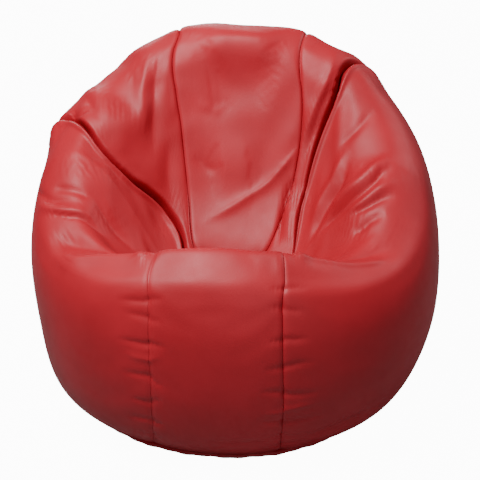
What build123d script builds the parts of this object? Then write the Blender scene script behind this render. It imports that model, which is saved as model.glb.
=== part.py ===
"""Bean bag chair: a vinyl cover of six gores, a crown and a base, zipped round an inner liner full of beads.

Millimetres, +Z up, front towards -Y. The origin is on the floor, at the middle of the bag's outline.
"""
import os
from math import atan2, cos, degrees, hypot, pi, radians, sin

from build123d import *

# ---- the bag's outside
belly_front = 435.0        # reach of the widest ring from the base's centre
belly_side = 450.0
belly_back = 425.0
base_radius = 356.0        # the round base seam
crest_front = 325.0        # reach of the seat's front edge, the arms and the backrest's top
crest_side = 330.0
crest_back = 272.0
rim_height = 488.0         # height of the seat's front edge
arm_height = 545.0
back_height = 735.0
belly_height_front = 200.0
belly_height_side = 220.0
belly_height_back = 240.0
seat_floor_height = 305.0
corner_drop = 52.0         # how far the seat's edge falls between the front and the arms
seat_centre = -140.0       # the crown's centre, along Y from the base's centre
crown_apothem = 90.0       # half the crown across its flats
crown_flat_radius = 64.0   # the flat disc in the middle of the crown

# ---- sheet goods
cover_thickness = 1.5
liner_thickness = 0.8
layer_gap = 2.5            # clear space between cover, liner and beads on curved walls
seam_height = 12.0         # the base seam stands this far off the floor
base_roll = 14.0           # how far in from its seam the base panel leaves the floor
liner_pull_in = 14.0       # the liner's base seam lies this far inside the cover's
liner_seam_height = 10.0
liner_roll = 8.0

# ---- zips, one in each base seam at the rear
cover_zip_length = 430.0
liner_zip_length = 380.0
zip_width = 24.0           # both tapes and the slot between them
tape_thickness = 0.6
coil_width = 2.1
coil_height = 2.2
zip_slot = 1.8             # room between the coils for the slider's post
slider_length = 18.0
slider_width = 10.0
slider_plate = 1.4
slider_post = 0.9
slider_clearance = 0.45
stop_length = 3.0
stop_height = 1.1

# ---- seams in plan, from a crown corner out past the belly; the left-hand front and back mirror these
front_seam = [(125.0, -330.0), (136.0, -430.0), (150.0, -700.0)]
back_seam = [(112.0, 50.0), (143.0, 250.0), (162.0, 400.0), (185.0, 700.0)]
# The side seams have sunk into the folds between the arms and the backrest, each in its own way.
right_side_seam = [(142.0, 0.0), (176.0, 76.0), (246.0, 182.0), (300.0, 214.0), (405.0, 212.0), (700.0, 235.0)]
left_side_seam = [(-108.0, -50.0), (-150.0, -14.0), (-230.0, -16.0), (-328.0, 20.0), (-395.0, 120.0),
                  (-450.0, 150.0), (-700.0, 190.0)]

POINTS_PER_RING = 20
FAR = 800.0                # beyond the bag on every side

liner_inset = cover_thickness + layer_gap
fill_inset = liner_inset + liner_thickness + layer_gap
liner_radius = base_radius - liner_pull_in
frame_shift = (belly_front - belly_back) / 2

# Each outline row: how far along its span the ring is, outwards or inwards, then up or down, each in
# front, at the side and at the back; then how square the ring is and its part of the corner drop.
BASE_TO_BELLY = [
    (0.00, 0.00, 0.00, 0.00, 0.00, 0.00, 2.00, 0.00),
    (0.73, 0.72, 0.69, 0.39, 0.35, 0.32, 2.15, 0.00),
]
BELLY_TO_CREST = [
    (0.00, 0.00, 0.00, 0.00, 0.00, 0.00, 2.30, 0.00),
    (0.09, 0.02, 0.03, 0.49, 0.43, 0.36, 2.30, 0.20),
    (0.36, 0.21, 0.27, 0.83, 0.77, 0.70, 2.30, 0.60),
    (0.64, 0.54, 0.60, 0.97, 0.94, 0.91, 2.30, 0.90),
]
CREST_TO_CROWN = [
    (0.00, 0.00, 0.00, 0.00, 0.00, 0.00, 2.30, 1.00),
    (0.31, 0.21, 0.17, 0.13, 0.13, 0.08, 2.30, 0.90),
    (0.58, 0.44, 0.35, 0.51, 0.44, 0.37, 2.25, 0.60),
    (0.77, 0.64, 0.57, 0.86, 0.78, 0.71, 2.20, 0.25),
    (0.86, 0.83, 0.82, 0.97, 0.95, 0.94, 2.10, 0.05),
    (1.00, 1.00, 1.00, 1.00, 1.00, 1.00, 2.00, 0.00),
]


def mix(a, b, share):
    return a + (b - a) * share


def outline():
    """Every ring of the outline: reach and height in front, at the side and at the back."""
    base = (base_radius, base_radius, base_radius, seam_height, seam_height, seam_height)
    belly = (belly_front, belly_side, belly_back,
             belly_height_front, belly_height_side, belly_height_back)
    crest = (crest_front, crest_side, crest_back, rim_height, arm_height, back_height)
    crown = (crown_flat_radius - seat_centre, crown_flat_radius, crown_flat_radius + seat_centre,
             seat_floor_height, seat_floor_height, seat_floor_height)
    rows = []
    for start, end, span in ((base, belly, BASE_TO_BELLY), (belly, crest, BELLY_TO_CREST),
                             (crest, crown, CREST_TO_CROWN)):
        for row in span:
            rows.append([mix(a, b, share) for a, b, share in zip(start, end, row)] + list(row[6:]))
    return rows


RINGS = outline()
LAST = len(RINGS) - 1


def ring_values(level):
    """The outline at any level, smooth between its rings."""
    at = min(max(int(level), 0), LAST - 1)
    share = level - at
    before, here, after, beyond = (RINGS[min(max(at + step, 0), LAST)] for step in (-1, 0, 1, 2))
    values = []
    for p, a, b, q in zip(before, here, after, beyond):
        values.append(a + 0.5 * share * (b - p + share * (2 * p - 5 * a + 4 * b - q
                      + share * (3 * (a - b) + q - p))))
    return values


def skin_point(level, bearing):
    """A point on the bag's outside. Bearing 0 is the front, and a quarter turn is the right side."""
    front, side, back, up_front, up_side, up_back, square, drop = ring_values(level)
    ahead, across = -cos(bearing), sin(bearing)
    bulge = (abs(ahead) ** square + abs(across) ** square) ** (-1 / square)
    x = side * across * bulge
    y = (back - front) / 2 + (back + front) / 2 * ahead * bulge
    z = up_side + (up_back - up_front) / 2 * ahead + ((up_front + up_back) / 2 - up_side) * ahead ** 2
    z -= corner_drop * drop * 2.6 * across ** 2 * max(-ahead, 0)
    return Vector(x, y, z)


def inset_point(level, bearing, inset):
    """The same point moved into the bag along the skin's normal."""
    step = 0.02
    low, high = max(level - step, 0), min(level + step, LAST)
    up = skin_point(high, bearing) - skin_point(low, bearing)
    round_it = skin_point(level, bearing + step) - skin_point(level, bearing - step)
    return skin_point(level, bearing) - round_it.cross(up).normalized() * inset


def bearings():
    return [2 * pi * index / POINTS_PER_RING for index in range(POINTS_PER_RING)]


def round_ring(radius, height):
    return [Vector(radius * sin(bearing), -radius * cos(bearing), height) for bearing in bearings()]


def skin_rings(inset, first_level):
    """The skin's rings from a level up to the crown, set in evenly. The last one is flat."""
    rings = [[inset_point(level, bearing, inset) for bearing in bearings()]
             for level in range(first_level, LAST + 1)]
    rings[-1] = [Vector(point.X, point.Y, seat_floor_height - inset) for point in rings[-1]]
    return rings


def stepped_in(lower, upper, inset):
    """A ring moved into the bag, off the straight wall that rises from it to the next ring."""
    moved = []
    for foot, head in zip(lower, upper):
        out = Vector(foot.X, foot.Y, 0).normalized()
        reach, rise = (head - foot).dot(out), head.Z - foot.Z
        length = hypot(reach, rise)
        moved.append(foot - out * (inset * rise / length) + Vector(0, 0, inset * reach / length))
    return moved


def lowered(lower, upper, height):
    """Carries the wall between two rings straight on, down to a level plane."""
    return [foot + (head - foot) * ((height - foot.Z) / (head.Z - foot.Z))
            for foot, head in zip(lower, upper)]


def bag_solid(rings):
    return Solid.make_loft([Wire([Edge.make_spline(ring, periodic=True)]) for ring in rings], ruled=True)


def plan_prism(boundary):
    """A region of the plan, as tall as the bag."""
    return extrude(make_face(boundary), back_height + 2 * FAR, dir=(0, 0, 1)).moved(Pos(0, 0, -FAR))


def crown_corner(index):
    """Corners of the crown, counted round from the front right."""
    radius = crown_apothem / cos(pi / 6)
    bearing = radians(30 + 60 * index)
    return (radius * sin(bearing), seat_centre - radius * cos(bearing))


def mirrored(points):
    return [(-x, y) for x, y in points]


def seam_line(corner, points):
    """One seam in plan: straight from the crown's centre to its corner, then on along its curve."""
    run = [corner] + points
    leave = (run[1][0] - run[0][0], run[1][1] - run[0][1])
    arrive = (run[-1][0] - run[-2][0], run[-1][1] - run[-2][1])
    return [Line((0, seat_centre), run[0]), Spline(run, tangents=[leave, arrive])]


def gore_region(first, second, outer):
    """The plan between two seams, closed far outside the bag."""
    corners = [first[1] @ 1, *outer, second[1] @ 1]
    return plan_prism(Curve() + [*first, *second, Polyline(*corners)])


def base_frame(radius, height, next_radius, next_height):
    """Turns (along the wall, off the wall) at a base seam into (radius, height)."""
    slope = atan2(next_height - height, next_radius - radius)

    def place(along, off):
        return (radius + along * cos(slope) + off * sin(slope),
                height + along * sin(slope) - off * cos(slope))
    return place


def swept(place, outline_points, start, sweep):
    """A section in a base seam's frame, swept round the base's centre. Bearings count from +X."""
    points = [place(along, off) for along, off in outline_points]
    section = make_face(Polyline(*[(r, 0, z) for r, z in points], close=True))
    return Rot(0, 0, start) * revolve(section, Axis.Z, sweep)


def block(low_along, high_along, low_off, high_off):
    return [(low_along, low_off), (high_along, low_off), (high_along, high_off), (low_along, high_off)]


def slider_section(middle):
    """Two plates round the coils, joined by the post that runs between them."""
    half, post = slider_width / 2, slider_post / 2
    roof = coil_height + slider_clearance
    floor = -tape_thickness - slider_clearance
    flange = zip_slot / 2 + coil_width + slider_clearance
    right = [(post, floor), (half, floor), (half, floor - slider_plate)]
    upper = [(half, roof + slider_plate), (half, slider_clearance), (flange, slider_clearance),
             (flange, roof), (post, roof)]
    half_outline = upper + right
    return [(middle + along, off) for along, off in half_outline + mirrored(reversed(half_outline))]


def make_zip(name, place, length, parts):
    """One closed zip with its slider at the right-hand end. Returns its bearings and its travel."""
    middle = zip_width / 2
    radius = place(middle, 0)[0]
    arc = degrees(length / radius)
    start = 90 - arc / 2
    stop_arc = degrees(stop_length / radius)
    slider_arc = degrees(slider_length / radius)
    slack_arc = degrees(slider_clearance / radius)
    slot, outer = zip_slot / 2, zip_slot / 2 + coil_width
    parts[name + "_zip_lower_tape"] = swept(place, block(0, middle - slot, -tape_thickness, 0), start, arc)
    parts[name + "_zip_upper_tape"] = swept(
        place, block(middle + slot, zip_width, -tape_thickness, 0), start, arc)
    parts[name + "_zip_lower_coil"] = swept(
        place, block(middle - outer, middle - slot, 0, coil_height), start, arc)
    parts[name + "_zip_upper_coil"] = swept(
        place, block(middle + slot, middle + outer, 0, coil_height), start, arc)
    stop = block(middle - outer, middle + outer, coil_height, coil_height + stop_height)
    parts[name + "_zip_closed_stop"] = swept(place, stop, start, stop_arc)
    parts[name + "_zip_open_stop"] = swept(place, stop, start + arc - stop_arc, stop_arc)
    slider_start = start + stop_arc + slack_arc
    slider = swept(place, slider_section(middle), slider_start, slider_arc)
    roof = coil_height + slider_clearance + slider_plate
    lug = block(middle - slider_width / 5, middle + slider_width / 5, roof - slider_plate / 2,
                roof + slider_plate)
    slider += swept(place, lug, slider_start + slider_arc * 0.3, slider_arc * 0.4)
    parts[name + "_zip_slider"] = slider
    travel = arc - 2 * stop_arc - 2 * slack_arc - slider_arc
    print(name, "zip: radius", round(radius, 2), "start", round(start, 3), "travel", round(travel, 3))
    return start, arc


def make_base(radius, seam, roll, thickness, floor):
    """A round panel with its edge turned up to the base seam, where the wall stands on its level top."""
    slope = atan2(seam - floor, roll)
    flat = radius - roll
    fold = thickness * (1 - cos(slope)) / sin(slope)
    section = [(0, floor), (flat, floor), (radius, seam), (radius - thickness / sin(slope), seam),
               (flat - fold, floor + thickness), (0, floor + thickness)]
    return revolve(make_face(Polyline(*[(r, 0, z) for r, z in section], close=True)), Axis.Z, 360)


def rear_wall_point(inset, level):
    point = inset_point(level, pi, inset)
    return point.Y, point.Z


def make_bag():
    parts = {}
    below = 15.0
    first_reach, first_height = rear_wall_point(0, 1)
    cover_place = base_frame(base_radius, seam_height, first_reach, first_height)
    liner_reach, liner_height = rear_wall_point(liner_inset, 1)
    liner_place = base_frame(liner_radius, liner_seam_height, liner_reach, liner_height)
    cover_start, cover_arc = make_zip("cover", cover_place, cover_zip_length, parts)
    liner_start, liner_arc = make_zip("liner", liner_place, liner_zip_length, parts)

    # The cover: a shell cut into gores along the seams, with a window at the rear for the zip.
    outer_rings = skin_rings(0, 0)
    inner_rings = skin_rings(cover_thickness, 0)
    outside = bag_solid(outer_rings)
    inside = bag_solid([lowered(inner_rings[0], inner_rings[1], seam_height - below)] + inner_rings)
    hexagon = Polyline(*[crown_corner(index) for index in range(6)], close=True)
    crown_prism = plan_prism(hexagon)
    window = swept(cover_place, block(-4, zip_width, -30, 30), cover_start, cover_arc)
    shell = outside - inside
    parts["crown_panel"] = shell & crown_prism
    shell = shell - crown_prism - window
    seams = {1: [seam_line(crown_corner(0), front_seam), seam_line(crown_corner(1), right_side_seam),
                 seam_line(crown_corner(2), back_seam)],
             -1: [seam_line(crown_corner(5), mirrored(front_seam)),
                  seam_line(crown_corner(4), left_side_seam),
                  seam_line(crown_corner(3), mirrored(back_seam))]}
    parts["front_panel"] = shell & gore_region(seams[-1][0], seams[1][0], [(0, -FAR)])
    parts["back_panel"] = shell & gore_region(seams[1][2], seams[-1][2], [(0, FAR)])
    for side, hand in (("right", 1), ("left", -1)):
        front, middle, back = seams[hand]
        parts[side + "_front_panel"] = shell & gore_region(front, middle, [(hand * FAR, -FAR)])
        parts[side + "_back_panel"] = shell & gore_region(middle, back, [(hand * FAR, FAR)])
    parts["base_panel"] = make_base(base_radius, seam_height, base_roll, cover_thickness, 0)

    # The liner: two halves and a base, with its own zip inside the cover's.
    seam_ring = round_ring(liner_radius, liner_seam_height)
    liner_rings = skin_rings(liner_inset, 1)
    liner_outside = bag_solid([seam_ring] + liner_rings)
    inner_rings = skin_rings(liner_inset + liner_thickness, 1)
    inner_seam = stepped_in(seam_ring, liner_rings[0], liner_thickness)
    inner_foot = lowered(inner_seam, inner_rings[0], liner_seam_height - below)
    liner_inside = bag_solid([inner_foot, inner_seam] + inner_rings)
    liner_window = swept(liner_place, block(-4, zip_width, -30, 30), liner_start, liner_arc)
    liner = liner_outside - liner_inside - liner_window
    for side, hand in (("right", 1), ("left", -1)):
        half_space = Box(FAR, 2 * FAR, 4 * FAR, align=(Align.MIN, Align.CENTER, Align.CENTER))
        if hand < 0:
            half_space = half_space.mirror(Plane.YZ)
        parts["liner_" + side + "_half"] = liner & half_space
    parts["liner_base"] = make_base(liner_radius, liner_seam_height, liner_roll, liner_thickness,
                                    cover_thickness)

    # The beads fill the liner, with a groove left along its zip for the slider's inner plate.
    bead_floor = cover_thickness + liner_thickness
    bead_foot = round_ring(liner_radius - liner_roll - 4, bead_floor)
    bead_edge = stepped_in(seam_ring, liner_rings[0], liner_thickness + layer_gap)
    beads = bag_solid([bead_foot, bead_edge] + skin_rings(fill_inset, 1))
    depth = tape_thickness + 2 * slider_clearance + slider_plate
    groove = swept(liner_place, block(-6, zip_width + 3, -depth - 1, 30), liner_start - 1, liner_arc + 2)
    parts["bead_fill"] = beads - groove
    return parts


def main():
    os.makedirs("parts", exist_ok=True)
    for name, shape in make_bag().items():
        export_step(Pos(0, frame_shift, 0) * shape, "parts/" + name + ".step")


main()
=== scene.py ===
import math

import bmesh
import bpy
import numpy as np
from mathutils import Matrix, Vector


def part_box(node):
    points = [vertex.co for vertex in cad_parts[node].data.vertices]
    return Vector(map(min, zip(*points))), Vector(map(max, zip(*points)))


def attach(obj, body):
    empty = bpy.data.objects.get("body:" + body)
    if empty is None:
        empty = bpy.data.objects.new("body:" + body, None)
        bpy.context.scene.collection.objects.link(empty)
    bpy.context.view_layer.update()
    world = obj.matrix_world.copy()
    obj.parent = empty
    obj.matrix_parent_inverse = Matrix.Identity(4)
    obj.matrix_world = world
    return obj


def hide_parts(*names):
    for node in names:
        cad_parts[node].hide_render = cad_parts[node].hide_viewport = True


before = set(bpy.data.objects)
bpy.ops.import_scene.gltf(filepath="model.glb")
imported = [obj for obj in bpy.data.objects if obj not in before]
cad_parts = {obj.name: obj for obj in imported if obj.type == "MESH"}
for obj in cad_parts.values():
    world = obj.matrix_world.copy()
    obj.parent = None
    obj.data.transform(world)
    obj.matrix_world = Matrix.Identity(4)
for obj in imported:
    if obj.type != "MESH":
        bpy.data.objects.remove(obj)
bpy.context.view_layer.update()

# ---------------------------------------------------------------- places taken from the frame

base_low, base_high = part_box("base_panel")
CENTRE_Y = (base_low.y + base_high.y) / 2
BASE_RADIUS = (base_high.x - base_low.x) / 2
CROWN_Y = -0.14              # the crown's middle, forward of the base's centre
CROWN_APOTHEM = 0.09
CROWN_ROUNDED = 0.25         # 0 leaves the crown's edge a plain hexagon, 1 makes it a circle

# ---------------------------------------------------------------- the bag's form
# Rings from the base seam, out over the belly, up over the rim and down into the seat. Each row: reach
# in front, left, right and behind; height in front, left, right and behind; squareness; corner drop.
OUTLINE = np.array([
    (0.356, 0.374, 0.347, 0.356, 0.012, 0.012, 0.012, 0.012, 2.10, 0.00),
    (0.414, 0.414, 0.412, 0.402, 0.085, 0.085, 0.085, 0.085, 2.25, 0.00),
    (0.435, 0.429, 0.450, 0.425, 0.200, 0.220, 0.220, 0.240, 2.30, 0.00),
    (0.425, 0.436, 0.450, 0.420, 0.340, 0.360, 0.360, 0.420, 2.30, 0.20),
    (0.395, 0.420, 0.425, 0.385, 0.440, 0.470, 0.470, 0.590, 2.30, 0.60),
    (0.365, 0.385, 0.388, 0.335, 0.480, 0.525, 0.525, 0.690, 2.30, 0.90),
    (0.316, 0.330, 0.335, 0.272, 0.501, 0.547, 0.547, 0.732, 2.30, 1.00),
    (0.296, 0.275, 0.275, 0.215, 0.446, 0.512, 0.512, 0.700, 2.30, 0.90),
    (0.268, 0.215, 0.215, 0.150, 0.388, 0.436, 0.436, 0.580, 2.25, 0.60),
    (0.245, 0.165, 0.165, 0.070, 0.340, 0.360, 0.360, 0.440, 2.20, 0.25),
    (0.236, 0.128, 0.128, -0.020, 0.315, 0.322, 0.322, 0.345, 2.10, 0.05),
    (0.230, 0.104, 0.104, -0.050, 0.306, 0.306, 0.306, 0.312, 2.00, 0.00),
])
LAST = len(OUTLINE) - 1
CORNER_DROP = 0.052          # how far the rim dips at the two front corners, where a row's share is 1
CORNER_PEAK = 2.6            # brings the greatest value of the dip's curve to 1

# Bearings of the six seams at each ring, in degrees: 0 is the front and 90 the right side. The last row
# is the first seam again, once round the bag.
SEAMS = np.array([
    (-22, -19, -18, -18, -19, -21, -22.5, -25, -27, -29, -30, -30),
    (21, 18, 17, 16.5, 17, 19, 20.5, 23, 26, 28, 29, 30),
    (128, 124.5, 118.5, 119, 125, 135, 137, 133, 131, 122, 97, 90),
    (155, 157, 158, 158, 158, 157, 156, 152, 141, 138, 142, 150),
    (205, 203, 202, 202, 202, 202, 204.5, 211.5, 214, 217, 220, 210),
    (262, 257, 253, 250, 248.5, 251, 257, 259.5, 253, 236, 230, 266),
    (338, 341, 342, 342, 341, 339, 337.5, 335, 333, 331, 330, 330),
])
RIGHT_FRONT_SEAM, RIGHT_SIDE_SEAM, LEFT_SIDE_SEAM, LEFT_FRONT_SEAM = 1, 2, 5, 0
GORES = ["front_panel", "right_front_panel", "right_back_panel", "back_panel", "left_back_panel",
         "left_front_panel"]
GORE_COLUMNS = [36, 76, 36, 44, 46, 64]
GATHERED = 0.55              # how much closer the columns lie beside a seam
ROWS = 150
FINER = 2                    # the finished cloth has this many cells for each simulated one, each way
LEVELS_MEASURED = 400


def eased(share):
    """0 to 1, level at both ends."""
    return share * share * (3 - 2 * share)


def curve_through(p, a, b, q, share):
    """A smooth curve from a to b, with p and q as the places before and after them."""
    bend = 2 * p - 5 * a + 4 * b - q + share * (3 * (a - b) + q - p)
    return a + 0.5 * share * (b - p + share * bend)


def smooth_table(table, at):
    """Rows of a table at fractional places, as a smooth curve through them."""
    at = np.clip(at, 0, len(table) - 1)
    here = np.minimum(at.astype(int), len(table) - 2)
    share = (at - here).reshape(at.shape + (1,) * (table.ndim - 1))
    near = (table[np.clip(here + step, 0, len(table) - 1)] for step in (-1, 0, 1, 2))
    return curve_through(*near, share)


def ring_point(values, bearing):
    """Points of one ring: a squared-off oval with its own reach and height in each direction."""
    front, left, right, back, up_front, up_left, up_right, up_back, square, drop = values
    ahead, across = -np.cos(bearing), np.sin(bearing)
    bulge = (np.abs(ahead) ** square + np.abs(across) ** square) ** (-1 / square)
    side = np.where(across > 0, right, left)
    up_side = np.where(across > 0, up_right, up_left)
    x = side * across * bulge
    y = (back - front) / 2 + (back + front) / 2 * ahead * bulge
    z = up_side + (up_back - up_front) / 2 * ahead + ((up_front + up_back) / 2 - up_side) * ahead ** 2
    z = z - CORNER_DROP * drop * CORNER_PEAK * across ** 2 * np.maximum(-ahead, 0)
    return np.stack([x, y + CENTRE_Y, z], -1)


def crown_ring(bearing):
    """The crown's six-sided edge, a little rounded."""
    turn = np.mod(np.degrees(bearing) - 30, 60) - 30
    radius = CROWN_APOTHEM * (CROWN_ROUNDED + (1 - CROWN_ROUNDED) / np.cos(np.radians(turn)))
    lift = OUTLINE[-1][4] + (OUTLINE[-1][7] - OUTLINE[-1][4]) * (1 - np.cos(bearing)) / 2
    return np.stack([radius * np.sin(bearing), CROWN_Y + CENTRE_Y - radius * np.cos(bearing), lift], -1)


def skin(level, bearing):
    """Points of the plain bag at a level (0 base seam to LAST crown) and a bearing in radians."""
    rings = [ring_point(values, bearing) for values in OUTLINE[:-1]] + [crown_ring(bearing)]
    rings = np.stack(rings)
    level = np.clip(level, 0, LAST)
    here = np.minimum(level.astype(int), LAST - 1)
    share = (level - here)[..., None]
    index = np.indices(level.shape)
    near = (rings[(np.clip(here + step, 0, LAST), *index)] for step in (-1, 0, 1, 2))
    return curve_through(*near, share)


def place(level, degrees):
    """One point, or several, of the plain bag."""
    level, degrees = (np.atleast_1d(np.asarray(value, float)) for value in (level, degrees))
    return skin(level, np.radians(degrees))


# ---------------------------------------------------------------- the zip's opening in the cover
tape_low, tape_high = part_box("cover_zip_upper_tape")
ZIP_HALF_ANGLE = math.degrees(math.atan2(tape_high.x, tape_low.y - CENTRE_Y))
ZIP_TOP_LEVEL = 0.30         # the hem over the zip starts this far up the first ring
HEM_PAST_ZIP, HEM_SLOPE = 1.0, 2.5       # degrees the hem runs past the zip, and comes down over
LEVEL_AGAIN = 6              # the higher this is, the sooner the rows above the zip run level again


def hem_level(bearing):
    """Where the gores begin: at the base seam, or above the zip at the rear."""
    off = np.abs(np.degrees(bearing) - 180)
    fade = np.clip((ZIP_HALF_ANGLE + HEM_PAST_ZIP - off) / HEM_SLOPE, 0, 1)
    return ZIP_TOP_LEVEL * eased(fade)


def run_along(line):
    """How far along a line each of its points is."""
    return np.concatenate([[0], np.cumsum(np.linalg.norm(np.diff(line, axis=0), axis=1))])


def grid_levels(count):
    """Levels of the rows, evenly spaced along the cloth."""
    fine = np.linspace(0, LAST, LEVELS_MEASURED)
    lengths = 0
    for degrees in (0, 60, 120, 180, 240, 300):
        lengths = lengths + run_along(skin(fine, np.full(LEVELS_MEASURED, math.radians(degrees))))
    return np.interp(np.linspace(0, lengths[-1], count + 1), lengths, fine)


def cloth_grid(rows, columns):
    """Level, bearing and gore share of every crossing, columns running once round the bag."""
    level = grid_levels(rows)[:, None] * np.ones(sum(columns) + 1)
    seams = np.stack([smooth_table(np.array(seam, float), level[:, 0]) for seam in SEAMS], -1)
    bearing, share = [], []
    for gore, count in enumerate(columns):
        steps = np.arange(count + (gore == len(columns) - 1)) / count
        steps = steps - GATHERED * np.sin(2 * np.pi * steps) / (2 * np.pi)
        bearing.append(seams[:, gore, None] + (seams[:, gore + 1] - seams[:, gore])[:, None] * steps)
        share.append(np.ones((rows + 1, 1)) * steps)
    bearing = np.radians(np.concatenate(bearing, 1))
    share = np.concatenate(share, 1)
    share[:, -1] = 0
    level = level + hem_level(bearing) * (1 - level / LAST) ** LEVEL_AGAIN
    return level, bearing, share


def outward(points):
    """The outward normal at every crossing of a closed grid."""
    round_it = np.empty_like(points)
    round_it[:, 1:-1] = points[:, 2:] - points[:, :-2]
    round_it[:, 0] = round_it[:, -1] = points[:, 1] - points[:, -2]
    up = np.empty_like(points)
    up[1:-1] = points[2:] - points[:-2]
    up[0], up[-1] = points[1] - points[0], points[-1] - points[-2]
    normal = np.cross(round_it, up)
    return normal / np.maximum(np.linalg.norm(normal, axis=-1, keepdims=True), 1e-12)


# ---------------------------------------------------------------- folds, dents and wrinkles
STROKE_STEP = 0.006
STROKE_REACH = 3.2           # a stroke is felt this many of its widths away
FOLD_COLUMNS = 60            # a deep fold draws in no more columns than this on each side


def route(stops):
    """A stroke's line on the plain bag, through (level, bearing) stops, and how far along each point is."""
    stops = np.array(stops, float)
    stops[:, 1] = np.unwrap(stops[:, 1], period=360)
    at = np.linspace(0, len(stops) - 1, 24 * (len(stops) - 1) + 1)
    line = place(*smooth_table(stops, at).T)
    along = run_along(line)
    spots = np.linspace(0, along[-1], max(3, int(along[-1] / STROKE_STEP)))
    return np.stack([np.interp(spots, along, line[:, k]) for k in range(3)], -1), spots / along[-1]


def nearness(rest, line, reach):
    """Distance of each crossing from a line, where along it, and which crossings are within reach."""
    low, high = line.min(0) - reach, line.max(0) + reach
    near = np.nonzero(((rest > low) & (rest < high)).all(-1))
    spots = rest[near]
    distance, index = np.full(len(spots), 1e9), np.zeros(len(spots), int)
    for start in range(0, len(line), 32):
        gap = np.linalg.norm(spots[:, None] - line[None, start:start + 32], axis=-1)
        best = gap.argmin(1)
        closer = gap[np.arange(len(spots)), best] < distance
        distance[closer] = gap[np.arange(len(spots)), best][closer]
        index[closer] = best[closer] + start
    return near, distance, index


def faded(along, start, end):
    """1 along a stroke's middle, fading to 0 over its first and last shares."""
    rise = np.clip(along / max(start, 1e-6), 0, 1) if start else np.ones_like(along)
    fall = np.clip((1 - along) / max(end, 1e-6), 0, 1) if end else np.ones_like(along)
    return eased(np.minimum(rise, fall))


def press(points, normals, rest, stops, height, width, sharp, ends, lean):
    """Raises (or, below 0, presses in) the cloth along a stroke. Sharp 1 gives a creased line, 0 a soft
    one. Lean makes the right side of the stroke fall away faster than the left."""
    line, along = route(stops)
    near, distance, index = nearness(rest, line, STROKE_REACH * width)
    soft = np.exp(-(distance / width) ** 2)
    crease = np.exp(-1.5 * distance / width)
    shape = soft * (1 - sharp) + crease * sharp
    if lean:
        ahead = line[np.minimum(index + 1, len(line) - 1)] - line[np.maximum(index - 1, 0)]
        side = np.einsum("ij,ij->i", np.cross(ahead, normals[near]), rest[near] - line[index])
        hand = np.tanh(side / (np.linalg.norm(ahead, axis=1) * width * 0.25 + 1e-9))
        shape = shape * np.clip(1 - lean * hand, 0, 2) / (1 + abs(lean))
    points[near] += normals[near] * (height * shape * faded(along[index], *ends))[:, None]


# The broad form: (height, width, sharpness, fades, lean, stops as (level, bearing)).
BROAD = [
    # hollow upper left, between the left shoulder and the backrest's top
    (-0.012, 0.085, 0.0, (0.35, 0.35), 0, [(5.2, -142), (5.4, -130), (5.2, -119)]),
    (-0.010, 0.060, 0.0, (0.40, 0.40), 0, [(6.4, -140), (6.6, -126), (6.6, -112)]),
    # shoulders standing out
    (0.022, 0.050, 0.2, (0.50, 0.50), 0, [(3.6, -108), (4.5, -110), (5.2, -109)]),
    (0.012, 0.070, 0.0, (0.40, 0.40), 0, [(4.6, 150), (5.0, 138), (4.8, 125)]),
    # the backrest's middle: hollow under the top, bulge in the lower half
    (-0.008, 0.070, 0.0, (0.30, 0.30), 0, [(7.5, -158), (7.55, -172), (7.55, 172), (7.5, 158)]),
    (0.008, 0.060, 0.0, (0.40, 0.40), 0, [(8.75, -158), (8.8, -178), (8.75, 160)]),
    (0.010, 0.040, 0.0, (0.30, 0.30), 0, [(6.9, -160), (6.95, 180), (6.9, 160)]),
    # arms: full above, tucked beneath the rim's ends
    (0.014, 0.070, 0.0, (0.40, 0.40), 0, [(6.6, 60), (6.7, 80), (6.6, 100)]),
    (0.012, 0.070, 0.0, (0.40, 0.40), 0, [(6.4, -60), (6.6, -80), (6.5, -95)]),
    # valleys running in to the deep folds
    (-0.010, 0.040, 0.0, (0.40, 0.20), 0, [(5.6, -107), (7.0, -100), (8.4, -110), (9.6, -126)]),
    (-0.012, 0.040, 0.0, (0.30, 0.20), 0, [(6.2, 137), (7.3, 133), (8.3, 133), (9.0, 125)]),
    # the arms dip behind the rim, and the rim is level on the right
    (-0.014, 0.024, 0.2, (0.30, 0.15), 0, [(4.7, -64), (5.3, -54), (5.9, -43), (6.3, -26)]),
    (-0.012, 0.024, 0.2, (0.15, 0.30), 0, [(6.3, 26), (6.0, 40), (5.6, 52), (5.2, 63)]),
    (0.008, 0.040, 0.0, (0.40, 0.50), 0, [(5.8, 8), (5.95, 24), (5.6, 46)]),
    # the backrest's top is flat between its seams
    (-0.007, 0.080, 0.0, (0.50, 0.50), 0, [(5.4, 164), (5.5, 180), (5.4, 196)]),
    (0.007, 0.035, 0.0, (0.50, 0.50), 0, [(5.2, 158), (5.9, 156), (6.4, 155)]),
    (0.007, 0.035, 0.0, (0.50, 0.50), 0, [(5.2, 202), (5.9, 204), (6.4, 206)]),
]

# Depth at each ring of the two deep folds, where the side seams have sunk in beside the backrest.
RIGHT_FOLD = (0, 0, 0, 0, 0.002, 0.014, 0.026, 0.032, 0.034, 0.030, 0.008, 0)
LEFT_FOLD = (0, 0, 0, 0, 0, 0.012, 0.030, 0.034, 0.036, 0.034, 0.020, 0)
FOLD_WIDTH = 0.0055
FOLD_PULL = 0.055

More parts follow.
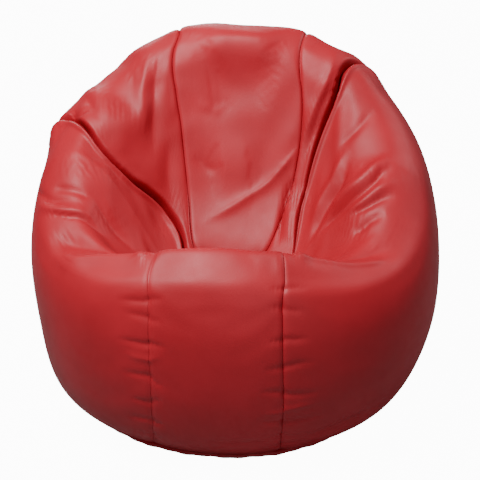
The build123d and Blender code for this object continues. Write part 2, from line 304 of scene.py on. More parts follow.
# Creases and wrinkles, in the same order of values as the broad form.
CREASES = [
    # the rim's edge, left and right of the front panel and across it
    (0.0150, 0.020, 0.8, (0.30, 0.10), -0.5, [(4.3, -55), (4.9, -48), (5.45, -40), (5.9, -24)]),
    (0.0120, 0.020, 0.8, (0.10, 0.30), 0.5, [(5.9, 23), (5.6, 36), (5.2, 48), (4.8, 58)]),
    (0.0050, 0.016, 0.7, (0.10, 0.10), 0, [(6.0, -24), (6.05, 0), (6.0, 24)]),
    # beside the right fold
    (-0.0060, 0.009, 0.4, (0.30, 0.30), 0,
     [(5.8, 141), (6.72, 136), (7.24, 135.5), (7.8, 135), (8.4, 136)]),
    (0.0060, 0.010, 0.3, (0.30, 0.30), 0, [(5.9, 144), (6.8, 139), (7.5, 139), (8.2, 139)]),
    (-0.0080, 0.008, 0.6, (0.20, 0.30), 0, [(8.6, 139), (9.0, 139), (9.4, 137), (9.9, 131)]),
    (0.0050, 0.012, 0.4, (0.30, 0.30), 0, [(8.9, 133), (9.3, 127), (9.6, 118)]),
    # the backrest's crossing ridge and soft dents
    (0.0090, 0.014, 0.6, (0.25, 0.30), 0.4,
     [(8.05, 139), (8.5, 146), (8.95, 157), (9.25, 172), (9.45, -172), (9.6, -148)]),
    (-0.0030, 0.020, 0.2, (0.40, 0.40), 0, [(7.9, -154), (8.0, -166), (7.9, 180)]),
    (-0.0030, 0.012, 0.4, (0.40, 0.40), 0, [(8.45, -150), (8.75, -158), (8.85, -170)]),
    (0.0030, 0.013, 0.3, (0.40, 0.40), 0, [(7.75, -156), (8.0, -166), (7.9, -176)]),
    (0.0040, 0.020, 0.3, (0.40, 0.40), 0, [(6.75, -153), (6.8, 180), (6.75, 156)]),
    # left back panel
    (-0.0084, 0.018, 0.4, (0.40, 0.40), 0, [(6.1, -150), (6.9, -141), (7.6, -132), (8.2, -122)]),
    (0.0070, 0.018, 0.2, (0.40, 0.40), 0, [(6.2, -143), (7.0, -133), (7.7, -124)]),
    (-0.0070, 0.014, 0.4, (0.30, 0.50), 0, [(5.2, -118), (5.9, -112), (6.6, -108)]),
    (-0.0084, 0.010, 0.6, (0.20, 0.50), 0, [(4.9, -111), (5.5, -109), (6.0, -113)]),
    (-0.0070, 0.020, 0.2, (0.40, 0.40), 0, [(8.0, -140), (8.6, -130), (9.2, -132)]),
    # left arm
    (-0.0119, 0.009, 0.7, (0.30, 0.40), 0.4, [(4.5, -73), (5.12, -69), (5.88, -64), (7.0, -60)]),
    (-0.0085, 0.009, 0.6, (0.30, 0.40), 0.3, [(3.7, -87), (4.5, -79), (5.12, -74), (6.2, -70)]),
    (0.0102, 0.012, 0.3, (0.30, 0.40), 0, [(4.1, -78), (4.8, -73.5), (5.6, -68), (6.6, -64)]),
    (-0.0068, 0.010, 0.5, (0.30, 0.40), 0, [(5.0, -80), (5.8, -76), (6.6, -74)]),
    (-0.0068, 0.014, 0.3, (0.40, 0.40), 0, [(6.2, -80), (7.2, -72), (8.2, -66)]),
    # right arm
    (-0.0120, 0.010, 0.6, (0.30, 0.30), 0.3,
     [(5.7, 91), (6.2, 88.5), (6.64, 85), (7.3, 85), (8.04, 88), (8.6, 90)]),
    (0.0105, 0.012, 0.3, (0.30, 0.30), 0, [(5.7, 95), (6.3, 92), (6.9, 89), (7.6, 91), (8.3, 94)]),
    (-0.0090, 0.009, 0.6, (0.30, 0.30), 0, [(5.6, 79), (6.1, 78), (6.6, 77), (7.3, 79.5)]),
    (0.0075, 0.011, 0.3, (0.30, 0.30), 0, [(5.7, 84), (6.3, 82), (6.9, 80), (7.4, 82)]),
    (-0.0090, 0.012, 0.5, (0.30, 0.30), 0, [(7.2, 104), (7.6, 99), (8.04, 99), (8.5, 96), (8.9, 90)]),
    (0.0090, 0.014, 0.2, (0.30, 0.30), 0, [(7.2, 112), (7.7, 107), (8.2, 106), (8.7, 102)]),
    (-0.0075, 0.010, 0.4, (0.30, 0.30), 0, [(5.9, 72), (6.4, 69), (7.0, 68)]),
    (-0.0060, 0.012, 0.4, (0.40, 0.40), 0, [(6.0, 118), (6.8, 114), (7.6, 116)]),
    # low on the right of the front
    (-0.0045, 0.012, 0.5, (0.30, 0.40), 0, [(1.1, 21), (1.3, 34), (1.45, 48)]),
    (-0.0040, 0.012, 0.5, (0.30, 0.40), 0, [(0.8, 22), (0.9, 36), (1.0, 50)]),
    (0.0040, 0.014, 0.2, (0.30, 0.40), 0, [(1.0, 21), (1.15, 36), (1.25, 52)]),
    (-0.0040, 0.012, 0.5, (0.40, 0.30), 0, [(1.2, -4), (1.15, 8), (1.1, 17)]),
]

# Puckers beside the front seams: level at the seam, rise away from it, length in degrees, height.
LEFT_PUCKERS = [(3.9, -0.04, 10, -0.0030), (3.45, 0.03, 8, -0.0026), (3.0, 0.02, 10, -0.0032),
                (2.72, 0.02, 8, 0.0022), (2.4, -0.03, 9, -0.0026), (2.0, 0.02, 7, -0.0024),
                (1.5, -0.03, 8, -0.0030), (1.1, 0.0, 6, -0.0022)]
RIGHT_PUCKERS = [(4.5, 0.04, 8, -0.0026), (3.8, -0.03, 7, -0.0020), (3.2, 0.02, 8, -0.0024),
                 (2.7, -0.02, 9, -0.0024), (2.25, 0.04, 11, -0.0034), (1.95, 0.02, 10, 0.0028),
                 (1.65, 0.04, 12, -0.0038), (1.3, 0.02, 9, -0.0030), (0.95, 0.0, 8, -0.0026)]


PUCKER_WIDTH = 0.008
PUCKER_DRIFT = 0.06          # in rings, how far up or down a pucker wanders


def pucker_strokes():
    """The puckers as strokes: full length on a seam's outer side, and a share of it on the inner side."""
    strokes = []
    for seam, outer, inner_share, rows in ((LEFT_FRONT_SEAM, -1, 0.55, LEFT_PUCKERS),
                                           (RIGHT_FRONT_SEAM, 1, 0.6, RIGHT_PUCKERS)):
        for number, (level, rise, length, height) in enumerate(rows):
            start = float(smooth_table(SEAMS[seam].astype(float), np.array([level]))[0])
            for hand, part in ((outer, 1.0), (-outer, inner_share)):
                drift = PUCKER_DRIFT * math.sin(2.4 * number + hand)
                stops = [(level + drift * (hand < 0), start + 0.4 * hand),
                         (level + rise / 2 + drift, start + 0.5 * length * part * hand),
                         (level + rise + drift, start + length * part * hand)]
                strokes.append((height * part ** 0.5, PUCKER_WIDTH, 0.4, (0.0, 0.75), 0, stops))
    return strokes


def seam_relief(points, normals, columns, depth, width, bulge):
    """Gores swell between their seams by their own bulge, and dip into each seam by its own depth."""
    column = 0
    for gore, count in enumerate(columns):
        last = column + count
        part = slice(column, last + 1)
        gap = np.linalg.norm(points[:, column + 1:last + 1] - points[:, column:last], axis=-1)
        across = np.concatenate([np.zeros((len(gap), 1)), np.cumsum(gap, 1)], 1)
        rise = bulge[gore] * (4 * across * (across[:, -1:] - across) / across[:, -1:] ** 2)
        fall = (depth[gore] * np.exp(-(across / width) ** 1.3)
                + depth[(gore + 1) % 6] * np.exp(-((across[:, -1:] - across) / width) ** 1.3))
        half = np.ones(count + 1)
        half[0] = half[-1] = 0.5
        points[:, part] += normals[:, part] * ((rise - fall) * half)[..., None]
        column = last
    seam = (points[:, 0] + points[:, -1]) / 2
    points[:, 0] = points[:, -1] = seam


def deep_fold(points, normals, level, column, depths, width, pull, draw, shoulder):
    """A deep fold along a seam: the cloth is drawn in from both sides and drops between them. Draw and
    shoulder are each given for the side before the seam's column and the side after it: how much of the
    way the cloth moves in, and how high it stands beside the fold."""
    depth = smooth_table(np.array(depths, float), level[:, column]).clip(0)
    fade = depth / max(depths)
    for hand in (-1, 1):
        reach = np.zeros(len(points))
        seam, last = points[:, column].copy(), points[:, column].copy()
        for step in range(1, FOLD_COLUMNS):
            here = column + hand * step
            if not 0 <= here < points.shape[1]:
                break
            reach = reach + np.linalg.norm(points[:, here] - last, axis=-1)
            last = points[:, here].copy()
            share = np.minimum(reach / pull, 1)
            if (share == 1).all():
                break
            shift = draw[hand > 0] * fade * (1 - share) ** 2
            points[:, here] += (seam - last) * shift[:, None]
            left = reach * (1 - shift)
            rise = (shoulder[hand > 0] * fade * np.exp(-((left - 2.4 * width) / (1.4 * width)) ** 2)
                    - depth * np.exp(-(left / width) ** 1.5))
            points[:, here] += normals[:, here] * rise[:, None]
    points[:, column] -= normals[:, column] * depth[:, None]


# ---------------------------------------------------------------- meshes from the grid

def sheet_mesh(points, loop=False):
    """A bmesh grid laid on an array of points, (rows, columns, 3), with its UV map from 0 to 1. A loop's
    first and last columns are sewn together."""
    rows, columns = points.shape[0] - 1, points.shape[1] - 1
    made = bmesh.new()
    bmesh.ops.create_grid(made, x_segments=columns, y_segments=rows, size=0.5, calc_uvs=True)
    crossing = made.verts.layers.int.new("crossing")
    for vert in made.verts:
        column, row = round((vert.co.x + 0.5) * columns), round((vert.co.y + 0.5) * rows)
        vert.co = points[row, column]
        vert[crossing] = row * (columns + 1) + column
    if loop:
        bmesh.ops.remove_doubles(made, verts=made.verts, dist=1e-6)
    return made


def fill_middle(made, middle, within):
    """Closes the small hole at the centre of a round grid."""
    edges = [edge for edge in made.edges if edge.is_boundary
             and (edge.verts[0].co.xy - Vector(middle)).length < within]
    bmesh.ops.holes_fill(made, edges=edges)


def fill_ends(made):
    """Closes a tube's or a bag's open ends, and turns its faces outwards."""
    bmesh.ops.holes_fill(made, edges=[edge for edge in made.edges if edge.is_boundary])
    bmesh.ops.recalc_face_normals(made, faces=made.faces[:])


def finished(made, name):
    """A smooth-shaded object at the origin, from a bmesh."""
    mesh = bpy.data.meshes.new(name)
    made.normal_update()
    made.to_mesh(mesh)
    made.free()
    mesh.shade_smooth()
    piece = bpy.data.objects.new(name, mesh)
    bpy.context.scene.collection.objects.link(piece)
    return piece


def finer(points, times):
    """The same cloth with more rows and columns, smooth through the old crossings."""
    rows = np.linspace(0, points.shape[0] - 1, times * (points.shape[0] - 1) + 1)
    points = smooth_table(points, rows)
    closed = np.concatenate([points[:, -3:-1], points, points[:, 1:3]], 1)
    columns = np.linspace(2, closed.shape[1] - 3, times * (points.shape[1] - 1) + 1)
    return smooth_table(closed.swapaxes(0, 1), columns).swapaxes(0, 1)


# ---------------------------------------------------------------- cloth simulation
GROWTH = 0.014               # the vinyl is this much longer than the bag's plain form
MOST_MOVE = 0.011
FRAMES = 20
LIGHTLY_HELD = 0.06          # how firmly the beads hold the cloth in place between its seams
SMOOTHED = 4                 # passes that take the cloth's finest ripple out
LOOSE, TAUT = 0.55, 0.22     # how much of the movement is kept inside and behind, and on the filled wall


def simulate(points, level, bearing, share):
    """Lets the cover buckle between its seams as loose vinyl does over beads."""
    cover = finished(sheet_mesh(points, loop=True), "cover_cloth")
    rest = np.array([v.co for v in cover.data.vertices])
    crossing = np.array([entry.value for entry in cover.data.attributes["crossing"].data])
    spots = np.stack([crossing // points.shape[1], crossing % points.shape[1]], -1)
    held = np.full(points.shape[:2], LIGHTLY_HELD)
    held[share == 0] = 1.0
    held[:3], held[-4:] = 1.0, 1.0
    group = cover.vertex_groups.new(name="held")
    weights = held[spots[:, 0], spots[:, 1]]
    for value in np.unique(weights):
        group.add([int(i) for i in np.nonzero(weights == value)[0]], float(value), "REPLACE")
    cloth = cover.modifiers.new("cloth", "CLOTH")
    feel = cloth.settings
    feel.quality = 5
    feel.mass = 0.25
    feel.tension_stiffness, feel.compression_stiffness, feel.shear_stiffness = 25, 25, 8
    feel.bending_stiffness = 2.5
    feel.tension_damping = feel.compression_damping = feel.shear_damping = 8
    feel.bending_damping = 1
    feel.air_damping = 4
    feel.use_pressure = True
    feel.uniform_pressure_force = 2.0
    feel.vertex_group_mass = "held"
    feel.pin_stiffness = 1.0
    feel.shrink_min = -GROWTH
    feel.effector_weights.gravity = 0.15
    cloth.point_cache.frame_start, cloth.point_cache.frame_end = 1, FRAMES
    scene = bpy.context.scene
    for number in range(1, FRAMES + 1):
        scene.frame_set(number)
    shown = cover.evaluated_get(bpy.context.evaluated_depsgraph_get())
    moved = np.array([v.co for v in shown.data.vertices])
    scene.frame_set(1)
    shift = moved - rest
    size = np.linalg.norm(shift, axis=1, keepdims=True)
    shift *= MOST_MOVE * np.tanh(size / MOST_MOVE) / np.maximum(size, 1e-9)
    field = np.zeros_like(points)
    field[spots[:, 0], spots[:, 1]] = shift
    for _ in range(SMOOTHED):
        field[1:-1] = (field[:-2] + 2 * field[1:-1] + field[2:]) / 4
        field[:, 1:-1] = (field[:, :-2] + 2 * field[:, 1:-1] + field[:, 2:]) / 4
        field[:, 0] = field[:, -1] = 0
    off_rear = np.abs(np.degrees(bearing) % 360 - 180)
    taut = np.clip((5.6 - level) / 1.4, 0, 1) * np.clip((off_rear - 45) / 45, 0, 1)
    bpy.data.objects.remove(cover)
    return points + field * (LOOSE - (LOOSE - TAUT) * taut)[..., None]


# ---------------------------------------------------------------- materials

def node_material(name):
    """A material, its node tree and its shader."""
    material = bpy.data.materials.new(name)
    material.use_nodes = True
    tree = material.node_tree
    shader = tree.nodes["Principled BSDF"]
    return material, tree, shader


def add(tree, kind, **values):
    """A node, with its sockets set where they have a value's name, and its settings elsewhere."""
    node = tree.nodes.new(kind)
    for key, value in values.items():
        if key in node.inputs:
            node.inputs[key].default_value = value
        else:
            setattr(node, key, value)
    return node


def link(tree, source, output, target, socket):
    tree.links.new(source.outputs[output], target.inputs[socket])


def ramp(tree, stops):
    """A colour ramp through (place, colour) stops."""
    node = add(tree, "ShaderNodeValToRGB")
    elements = node.color_ramp.elements
    for element, (at, colour) in zip(elements, (stops[0], stops[-1])):
        element.position, element.color = at, colour
    for at, colour in stops[1:-1]:
        elements.new(at).color = colour
    return node


def vinyl():
    """Red leather-grained vinyl: fine pebble, faint mottling, a soft gloss."""
    material, tree, shader = node_material("red_vinyl")
    coords = add(tree, "ShaderNodeTexCoord")
    mottle = add(tree, "ShaderNodeTexNoise", Scale=7.0, Detail=4.0, Roughness=0.55)
    link(tree, coords, "Object", mottle, "Vector")
    colour = ramp(tree, [(0.30, (0.28, 0.004, 0.010, 1)), (0.70, (0.34, 0.006, 0.014, 1))])
    link(tree, mottle, "Fac", colour, "Fac")
    link(tree, colour, "Color", shader, "Base Color")
    sheen_noise = add(tree, "ShaderNodeTexNoise", Scale=38.0, Detail=3.0)
    link(tree, coords, "Object", sheen_noise, "Vector")
    rough = add(tree, "ShaderNodeMapRange")
    rough.inputs["To Min"].default_value, rough.inputs["To Max"].default_value = 0.48, 0.60
    link(tree, sheen_noise, "Fac", rough, "Value")
    link(tree, rough, "Result", shader, "Roughness")
    pebble = add(tree, "ShaderNodeTexVoronoi", Scale=620.0, feature="SMOOTH_F1")
    link(tree, coords, "Object", pebble, "Vector")
    pores = add(tree, "ShaderNodeTexNoise", Scale=230.0, Detail=5.0, Roughness=0.6)
    link(tree, coords, "Object", pores, "Vector")
    grain = add(tree, "ShaderNodeBump", Strength=0.35, Distance=0.0004)
    link(tree, pebble, "Distance", grain, "Height")
    soft = add(tree, "ShaderNodeBump", Strength=0.25, Distance=0.0006)
    link(tree, pores, "Fac", soft, "Height")
    link(tree, grain, "Normal", soft, "Normal")
    link(tree, soft, "Normal", shader, "Normal")
    shader.inputs["Specular IOR Level"].default_value = 0.34
    return material


def woven(name, colour, thread):
    """A fine woven tape or lining."""
    material, tree, shader = node_material(name)
    coords = add(tree, "ShaderNodeTexCoord")
    weave = add(tree, "ShaderNodeTexWave", Scale=thread, Distortion=0.4, bands_direction="DIAGONAL")
    link(tree, coords, "Object", weave, "Vector")
    dark = tuple(0.72 * c for c in colour)
    shade = ramp(tree, [(0.2, (*dark, 1)), (0.8, (*colour, 1))])
    link(tree, weave, "Fac", shade, "Fac")
    link(tree, shade, "Color", shader, "Base Color")
    bump = add(tree, "ShaderNodeBump", Strength=0.5, Distance=0.0003)
    link(tree, weave, "Fac", bump, "Height")
    link(tree, bump, "Normal", shader, "Normal")
    shader.inputs["Roughness"].default_value = 0.85
    shader.inputs["Sheen Weight"].default_value = 0.2
    return material


def moulded(name, colour, rough):
    """Moulded nylon with a faint unevenness."""
    material, tree, shader = node_material(name)
    coords = add(tree, "ShaderNodeTexCoord")
    spots = add(tree, "ShaderNodeTexNoise", Scale=160.0, Detail=3.0)
    link(tree, coords, "Object", spots, "Vector")
    shade = ramp(tree, [(0.3, (*[0.85 * c for c in colour], 1)), (0.7, (*colour, 1))])
    link(tree, spots, "Fac", shade, "Fac")
    link(tree, shade, "Color", shader, "Base Color")
    bump = add(tree, "ShaderNodeBump", Strength=0.15, Distance=0.0002)
    link(tree, spots, "Fac", bump, "Height")
    link(tree, bump, "Normal", shader, "Normal")
    shader.inputs["Roughness"].default_value = rough
    return material


def zinc():
    """Tumbled zinc alloy, a little scratched."""
    material, tree, shader = node_material("slider_zinc")
    coords = add(tree, "ShaderNodeTexCoord")
    marks = add(tree, "ShaderNodeTexNoise", Scale=420.0, Detail=4.0, Distortion=1.5)
    link(tree, coords, "Object", marks, "Vector")
    rough = add(tree, "ShaderNodeMapRange")
    rough.inputs["To Min"].default_value, rough.inputs["To Max"].default_value = 0.28, 0.48
    link(tree, marks, "Fac", rough, "Value")
    link(tree, rough, "Result", shader, "Roughness")
    bump = add(tree, "ShaderNodeBump", Strength=0.12, Distance=0.0001)
    link(tree, marks, "Fac", bump, "Height")
    link(tree, bump, "Normal", shader, "Normal")
    shader.inputs["Base Color"].default_value = (0.60, 0.60, 0.61, 1)
    shader.inputs["Metallic"].default_value = 1.0
    return material


def beads():
    """Expanded polystyrene beads pressed together, with painted shade in the crevices between them."""
    material, tree, shader = node_material("polystyrene_beads")
    coords = add(tree, "ShaderNodeTexCoord")
    cells = add(tree, "ShaderNodeTexVoronoi", Scale=240.0)
    link(tree, coords, "Object", cells, "Vector")
    # white beads darkening from each bead's middle to its edge: painted shade between the beads
    shade = ramp(tree, [(0.0, (0.95, 0.95, 0.93, 1)), (0.75, (0.70, 0.70, 0.68, 1))])
    link(tree, cells, "Distance", shade, "Fac")
    link(tree, shade, "Color", shader, "Base Color")
    bump = add(tree, "ShaderNodeBump", Strength=0.8, Distance=0.002, invert=True)
    link(tree, cells, "Distance", bump, "Height")
    link(tree, bump, "Normal", shader, "Normal")
    shader.inputs["Roughness"].default_value = 0.7
    return material


def dress(piece, material):
    piece.data.materials.clear()
    piece.data.materials.append(material)
    return piece


# ---------------------------------------------------------------- camera, lights and floor

CAMERA_BEARING, CAMERA_ELEVATION, CAMERA_DISTANCE = 4.3, 32.0, 3.0
CAMERA_AIM = (0, CENTRE_Y, 0.35)
CAMERA_LENS = 101.25
CAMERA_SHIFT = (0.0146, -0.0188)


def make_camera():
    """A long lens in front of the seat, a little to its right, looking down into it."""
    azimuth, elevation = math.radians(CAMERA_BEARING), math.radians(CAMERA_ELEVATION)
    back = Vector((math.sin(azimuth) * math.cos(elevation), -math.cos(azimuth) * math.cos(elevation),
                   math.sin(elevation)))
    camera = bpy.data.objects.new("camera", bpy.data.cameras.new("camera"))
    bpy.context.scene.collection.objects.link(camera)
    camera.location = Vector(CAMERA_AIM) + back * CAMERA_DISTANCE
    camera.rotation_mode = "QUATERNION"
    camera.rotation_quaternion = (-back).to_track_quat("-Z", "Y")
    camera.data.lens = CAMERA_LENS
    camera.data.shift_x, camera.data.shift_y = CAMERA_SHIFT
    bpy.context.scene.camera = camera


def area_light(name, location, target, size, power):
    """A white disc of light, facing its target."""
    data = bpy.data.lights.new(name, "AREA")
    data.shape, data.size, data.energy = "DISK", size, power
    lamp = bpy.data.objects.new(name, data)
    bpy.context.scene.collection.objects.link(lamp)
    lamp.location = location
    lamp.rotation_mode = "QUATERNION"
    lamp.rotation_quaternion = (Vector(target) - Vector(location)).to_track_quat("-Z", "Y")


AMBIENT = 0.22               # the world's brightness on the bag
BACKDROP = 12.0              # the floor and the world are this bright, but only to the camera


def make_stage():
    """The pale floor, the white world and the four lights."""
    floor_mesh = bmesh.new()
    bmesh.ops.create_grid(floor_mesh, x_segments=1, y_segments=1, size=9)
    floor = finished(floor_mesh, "floor")
    material, tree, shader = node_material("pale_floor")
    shader.inputs["Base Color"].default_value = (0.22, 0.22, 0.22, 1)
    shader.inputs["Roughness"].default_value = 0.9
    shader.inputs["Emission Color"].default_value = (1, 1, 1, 1)
    path = add(tree, "ShaderNodeLightPath")
    glow = add(tree, "ShaderNodeMath", operation="MULTIPLY")
    glow.inputs[1].default_value = BACKDROP
    link(tree, path, "Is Camera Ray", glow, 0)
    link(tree, glow, "Value", shader, "Emission Strength")
    dress(floor, material)
    world = bpy.data.worlds.new("studio")
    bpy.context.scene.world = world
    world.use_nodes = True
    tree, sky = world.node_tree, world.node_tree.nodes["Background"]
    sky.inputs["Color"].default_value = (1, 1, 1, 1)
    path = add(tree, "ShaderNodeLightPath")
    glow = add(tree, "ShaderNodeMapRange")
    glow.inputs["To Min"].default_value, glow.inputs["To Max"].default_value = AMBIENT, BACKDROP
    link(tree, path, "Is Camera Ray", glow, "Value")
    link(tree, glow, "Result", sky, "Strength")
    area_light("key", (-0.9, -0.8, 3.0), (0, 0, 0.3), 1.3, 165)
    area_light("front_fill", (0.8, -3.2, 1.5), (0, 0, 0.3), 1.6, 17)
    area_light("rim", (2.0, 1.2, 2.0), (0, 0.1, 0.4), 1.2, 26)
    area_light("rear_fill", (-0.8, 3.0, 1.4), (0, 0.2, 0.2), 1.6, 40)


# ---------------------------------------------------------------- the cover

SEAM_BROAD, SEAM_FINE = 0.012, 0.0045    # how wide the dip beside a seam is, in the form and in the cloth
INNER_FOLD_WIDTH, INNER_FOLD_PULL = 0.045, 0.10


def cover_grid():
    """The cover's crossings: the plain bag, its broad form, the simulation, then creases, puckers and the
    two deep folds. Also how many columns each gore has, and the coarser form with plain wide folds in
    place of the deep ones, for what lies inside."""
    level, bearing, share = cloth_grid(ROWS, GORE_COLUMNS)
    plain = skin(level, bearing)
    points, normals = plain.copy(), outward(plain)
    for height, width, sharp, ends, lean, stops in BROAD:
        press(points, normals, plain, stops, height, width, sharp, ends, lean)
    seam_relief(points, normals, GORE_COLUMNS, [0.001, 0.001, 0.003, 0.002, 0.002, 0.003], SEAM_BROAD,
                [0.002, 0.003, 0.003, 0.004, 0.004, 0.003])
    points = simulate(points, level, bearing, share)
    inner = points.copy()
    for seam, depths in ((RIGHT_SIDE_SEAM, RIGHT_FOLD), (LEFT_SIDE_SEAM, LEFT_FOLD)):
        deep_fold(inner, normals, level, sum(GORE_COLUMNS[:seam]), depths, INNER_FOLD_WIDTH,
                  INNER_FOLD_PULL, (0, 0), (0, 0))
    columns = [FINER * count for count in GORE_COLUMNS]
    points, plain = finer(points, FINER), finer(plain, FINER)
    level = np.repeat(grid_levels(FINER * ROWS)[:, None], points.shape[1], 1)
    normals = outward(points)
    for height, width, sharp, ends, lean, stops in CREASES + pucker_strokes():
        press(points, normals, plain, stops, height, width, sharp, ends, lean)
    seam_relief(points, normals, columns, [0.0020, 0.0020, 0.003, 0.0035, 0.0035, 0.003], SEAM_FINE,
                [0.0] * 6)
    normals = outward(plain)
    for seam, depths, draw, shoulder in ((RIGHT_SIDE_SEAM, RIGHT_FOLD, (0.74, 0.50), (0.007, 0.002)),
                                         (LEFT_SIDE_SEAM, LEFT_FOLD, (0.50, 0.78), (0.001, 0.008))):
        deep_fold(points, normals, level, sum(columns[:seam]), depths, FOLD_WIDTH, FOLD_PULL, draw,
                  shoulder)
    return points, columns, inner


COVER_THICKNESS = 0.0015
LINER_THICKNESS = 0.0008
SEAM_GAP = 0.0003            # each panel's edge stops this far short of its seam
TURN_IN = 0.006              # the seam allowance folded in under each seam


def sewn(made, name, thickness, material, node):
    """A panel with its thickness and material, put on the bag in place of its CAD part, which is hidden."""
    piece = finished(made, name)
    wall = piece.modifiers.new("thickness", "SOLIDIFY")
    wall.thickness, wall.offset = thickness, -1
    dress(piece, material)
    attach(piece, "bag")
    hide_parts(node)


def make_gores(points, columns, material):
    """The six gores. Each edge stops just short of its seam and turns in under it."""
    start = 0
    normals = outward(points)
    for gore, count in zip(GORES, columns):
        part = points[:, start:start + count + 1].copy()
        for edge, inner in ((0, 1), (-1, -2)):
            inwards = part[:, inner] - part[:, edge]
            inwards /= np.maximum(np.linalg.norm(inwards, axis=-1, keepdims=True), 1e-9)
            part[:, edge] += inwards * SEAM_GAP
        turned = [part[:, edge] - normals[:, start + (count if edge else 0)] * TURN_IN for edge in (0, -1)]
        part = np.concatenate([turned[0][:, None], part, turned[1][:, None]], 1)
        sewn(sheet_mesh(part), gore + "_vinyl", COVER_THICKNESS, material, gore)
        start += count


CROWN_SUNK = 0.004           # the crown's middle lies this far below its edge, with a dish as deep again
CROWN_SEAM_DIP, CROWN_DIP_SHARE = 0.0035, 0.03


def make_crown(points, material):
    """The six-sided patch at the bottom of the seat, where the gores meet."""
    edge = points[-1]
    middle = edge[:-1].mean(0) - np.array([0, 0, CROWN_SUNK])
    shares = np.concatenate([[0.0, 0.035], np.linspace(0.08, 0.985, 16)])
    rings = []
    for share in shares:
        ring = edge + (middle - edge) * share
        dip = CROWN_SEAM_DIP * math.exp(-share / CROWN_DIP_SHARE)
        ring[:, 2] -= dip + CROWN_SUNK * math.sin(math.pi * share)
        rings.append(ring)
    inwards = middle - edge
    inwards /= np.linalg.norm(inwards, axis=-1, keepdims=True)
    rings[0] = rings[0] + inwards * SEAM_GAP
    rings.insert(0, rings[0] - np.array([0, 0, TURN_IN]))
    grid = np.stack(rings)
    made = sheet_mesh(grid, loop=True)
    fill_middle(made, middle[:2], 0.01)
    sewn(made, "crown_panel_vinyl", COVER_THICKNESS, material, "crown_panel")


ROUND_TO_FREE = 12           # degrees past the zip's ends over which the base takes the bag's own outline
# The base's turned-up edge, from inside the seam round to the floor: distance past the seam, and height.
BASE_EDGE = [(-0.006, 0.0160), (0.0000, 0.0135), (0.0040, 0.0118), (0.0058, 0.0086), (0.0052, 0.0052),
             (0.0020, 0.0024), (-0.0030, 0.0008), (-0.0100, 0.0)]
BASE_SHARES = (0.93, 0.85, 0.70, 0.5, 0.3, 0.1, 0.02)    # rings of the flat floor, as shares of its reach


def foot_ring(out, radius, height):
    """A ring round the base's centre, at a radius and a height that may differ from place to place."""
    ring = np.zeros((len(out), 3))
    ring[:, :2] = out * np.broadcast_to(radius, len(out))[:, None] + np.array([0, CENTRE_Y])
    ring[:, 2] = height
    return ring


def make_base(points, material):
    """The round base: flat on the floor, with its edge turned up to the base seam."""
    bearing = np.arctan2(points[0, :, 0], CENTRE_Y - points[0, :, 1])
    seam = ring_point(OUTLINE[0], bearing)
    off_rear = np.abs(np.degrees(bearing) % 360 - 180)
    free = eased(np.clip((off_rear - ZIP_HALF_ANGLE) / ROUND_TO_FREE, 0, 1))
    reach = free * np.hypot(seam[:, 0], seam[:, 1] - CENTRE_Y) + (1 - free) * (BASE_RADIUS - 0.001)
    out = np.stack([np.sin(bearing), -np.cos(bearing)], -1)
    wobble = 0.0012 * np.sin(23 * bearing) + 0.0008 * np.sin(57 * bearing + 1)
    rings = []
    for off, height in BASE_EDGE:
        lively = wobble * (1 if off > -0.005 else 0)
        rings.append(foot_ring(out, reach + off + lively, height))
    rings += [foot_ring(out, reach * share, 0) for share in BASE_SHARES]
    grid = np.stack(rings[::-1])
    made = sheet_mesh(grid, loop=True)
    fill_middle(made, (0, CENTRE_Y), 0.05)
    sewn(made, "base_panel_vinyl", COVER_THICKNESS, material, "base_panel")


# ---------------------------------------------------------------- the liner and the beads
LINER_INSET = 0.012
LINER_RADIUS = 0.342
LINER_SEAM = 0.010           # height of the liner's base seam
LINER_WINDOW = 0.0246        # the halves start this far above the seam over the zip
LINER_WINDOW_EDGE = 0.017    # radians either side of the zip's ends over which that window closes
# The liner's base, from its seam to its middle: share of the reach, and height.
LINER_BASE = ((0.985, 0.0060), (0.965, 0.0030), (0.93, 0.0018), (0.6, 0.0018), (0.3, 0.0018),
              (0.03, 0.0018))
FOOT_ROWS = 4                # rows of the wall that are laid again, straight up from the base seam
BEADS_INSET = 0.004          # the beads stop this far inside the liner
BEADS_FLOOR = 0.0035
BEADS_CLEAR = 0.010          # room between the beads and the base seam, for the slider's inner plate


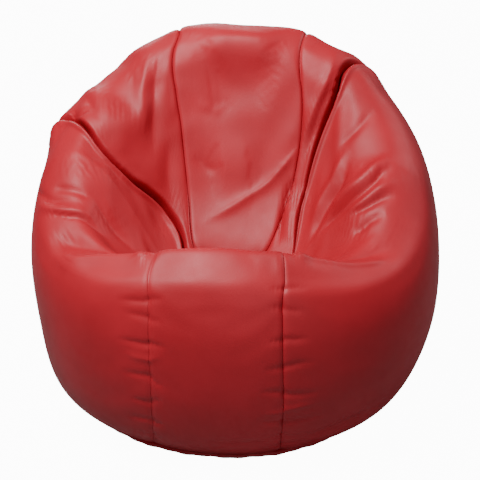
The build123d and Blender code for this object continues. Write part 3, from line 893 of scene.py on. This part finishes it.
def make_inside(points, columns, cloth, filling):
    """The liner's halves and base, and the beads that fill it, all set in from the cover."""
    front, back = columns[0] // 2, sum(columns[:3]) + columns[3] // 2
    normals = outward(points)
    wall = points - normals * LINER_INSET
    closed = np.concatenate([wall[:, :-1], wall], 1)
    turns = sum(columns)
    out = closed[0, :, :2] - np.array([0, CENTRE_Y])
    out /= np.linalg.norm(out, axis=-1, keepdims=True)
    # The halves start at the base seam, or above the liner's zip at the rear.
    _, slope, half_angle = zip_middles("liner")
    off_rear = np.abs(np.arctan2(out[:, 0], out[:, 1]))
    window = np.clip((half_angle + LINER_WINDOW_EDGE - off_rear) / (2 * LINER_WINDOW_EDGE), 0, 1)
    lift = LINER_WINDOW * eased(window)
    seam = foot_ring(out, LINER_RADIUS, LINER_SEAM)
    hem = foot_ring(out, LINER_RADIUS + lift * math.cos(slope), LINER_SEAM + lift * math.sin(slope))
    for row in range(FOOT_ROWS):
        closed[row] = hem + (closed[FOOT_ROWS] - hem) * row / FOOT_ROWS
    for name, part in (("liner_right_half", closed[:, front:back + 1]),
                       ("liner_left_half", closed[:, back:front + turns + 1])):
        sewn(sheet_mesh(part), name + "_cloth", LINER_THICKNESS, cloth, name)
    once = out[:turns + 1]
    rings = [seam[:turns + 1]] + [foot_ring(once, LINER_RADIUS * share, height)
                                  for share, height in LINER_BASE]
    grid = np.stack(rings[::-1])
    made = sheet_mesh(grid, loop=True)
    fill_middle(made, (0, CENTRE_Y), 0.05)
    sewn(made, "liner_base_cloth", LINER_THICKNESS, cloth, "liner_base")
    body = points - normals * (LINER_INSET + BEADS_INSET)
    foot = foot_ring(once, LINER_RADIUS - BEADS_CLEAR, LINER_SEAM - 0.004)
    for row in range(FOOT_ROWS):
        body[row] = foot + (body[FOOT_ROWS] - foot) * row / FOOT_ROWS
    bottom = foot_ring(once, LINER_RADIUS - 2 * BEADS_CLEAR, BEADS_FLOOR)
    made = sheet_mesh(np.concatenate([bottom[None], body]), loop=True)
    fill_ends(made)
    piece = dress(finished(made, "bead_fill_mass"), filling)
    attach(piece, "bag")
    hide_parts("bead_fill")


# ---------------------------------------------------------------- zips

COIL_PITCH = 0.0014
COIL_WIRE = 0.00034          # the wire's radius
COIL_HALF_WIDTH, COIL_HALF_HEIGHT = 0.00105, 0.0011
COIL_END = 0.0012            # radians the winding stops short of the zip's end
TURN_STEPS = 10
WIRE_SIDES = 6


def zip_middles(name):
    """Where the two coils of a zip run, as (radius, height) of each section's middle, and the slope."""
    low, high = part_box(name + "_zip_lower_coil")
    upper_low, upper_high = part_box(name + "_zip_upper_coil")
    rise = (upper_low.z + upper_high.z - low.z - high.z) / 2
    slope = math.atan2(rise, upper_high.y - high.y)
    spread = COIL_HALF_WIDTH * math.cos(slope) + COIL_HALF_HEIGHT * math.sin(slope)
    middles = [(box[1].y - CENTRE_Y - spread, (box[0].z + box[1].z) / 2)
               for box in ((low, high), (upper_low, upper_high))]
    half_angle = math.asin(high.x / (middles[0][0] + spread))
    return middles, slope, half_angle


def make_coils(name, material):
    """Both rows of a zip's teeth: one nylon wire wound along each tape's edge."""
    middles, slope, half_angle = zip_middles(name)
    for row, (radius, height) in zip(("lower", "upper"), middles):
        hand = 1 if row == "lower" else -1
        turns = int(2 * half_angle * radius / COIL_PITCH)
        steps = np.arange(turns * TURN_STEPS + 1) / TURN_STEPS
        wind = 2 * np.pi * steps
        along = hand * (COIL_HALF_WIDTH - COIL_WIRE) * np.cos(wind)
        off = (COIL_HALF_HEIGHT - COIL_WIRE) * np.sin(wind)
        reach = radius + along * math.cos(slope) + off * math.sin(slope)
        lift = height + along * math.sin(slope) - off * math.cos(slope)
        inside = half_angle - COIL_END
        angle = -inside + 2 * inside * steps / turns
        line = np.stack([reach * np.sin(angle), CENTRE_Y + reach * np.cos(angle), lift], -1)
        ahead = np.gradient(line, axis=0)
        ahead /= np.linalg.norm(ahead, axis=1, keepdims=True)
        # a little off upright, so that the wire never runs along the direction it is crossed with
        side = np.cross(ahead, np.array([0, 0, 1.0]) + 0.01 * ahead[:, ::-1])
        side /= np.linalg.norm(side, axis=1, keepdims=True)
        up = np.cross(side, ahead)
        round_wire = np.linspace(0, 2 * np.pi, WIRE_SIDES + 1)
        tube = line[:, None] + COIL_WIRE * (side[:, None] * np.cos(round_wire)[:, None]
                                            + up[:, None] * np.sin(round_wire)[:, None])
        made = sheet_mesh(tube, loop=True)
        fill_ends(made)
        piece = dress(finished(made, f"{name}_zip_{row}_teeth"), material)
        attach(piece, "bag")
        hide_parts(f"{name}_zip_{row}_coil")


def dress_cad(nodes, material):
    """Nodes that are shown as they come from CAD, in a finish of their own."""
    for node in nodes:
        dress(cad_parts[node], material)


def main():
    make_camera()
    make_stage()
    red = vinyl()
    points, columns, inner = cover_grid()
    make_base(points, red)
    make_crown(points, red)
    make_gores(points, columns, red)
    white = woven("liner_cloth", (0.78, 0.78, 0.75), 900)
    make_inside(inner, GORE_COLUMNS, white, beads())
    dress_cad(["cover_zip_upper_tape", "cover_zip_lower_tape"],
              woven("red_zip_tape", (0.30, 0.016, 0.020), 700))
    dress_cad(["liner_zip_upper_tape", "liner_zip_lower_tape"],
              woven("white_zip_tape", (0.74, 0.74, 0.72), 700))
    make_coils("cover", moulded("red_coil", (0.26, 0.016, 0.020), 0.4))
    make_coils("liner", moulded("white_coil", (0.75, 0.75, 0.73), 0.4))
    dress_cad(["cover_zip_slider", "cover_zip_closed_stop", "cover_zip_open_stop", "liner_zip_slider",
               "liner_zip_closed_stop", "liner_zip_open_stop"], zinc())


main()
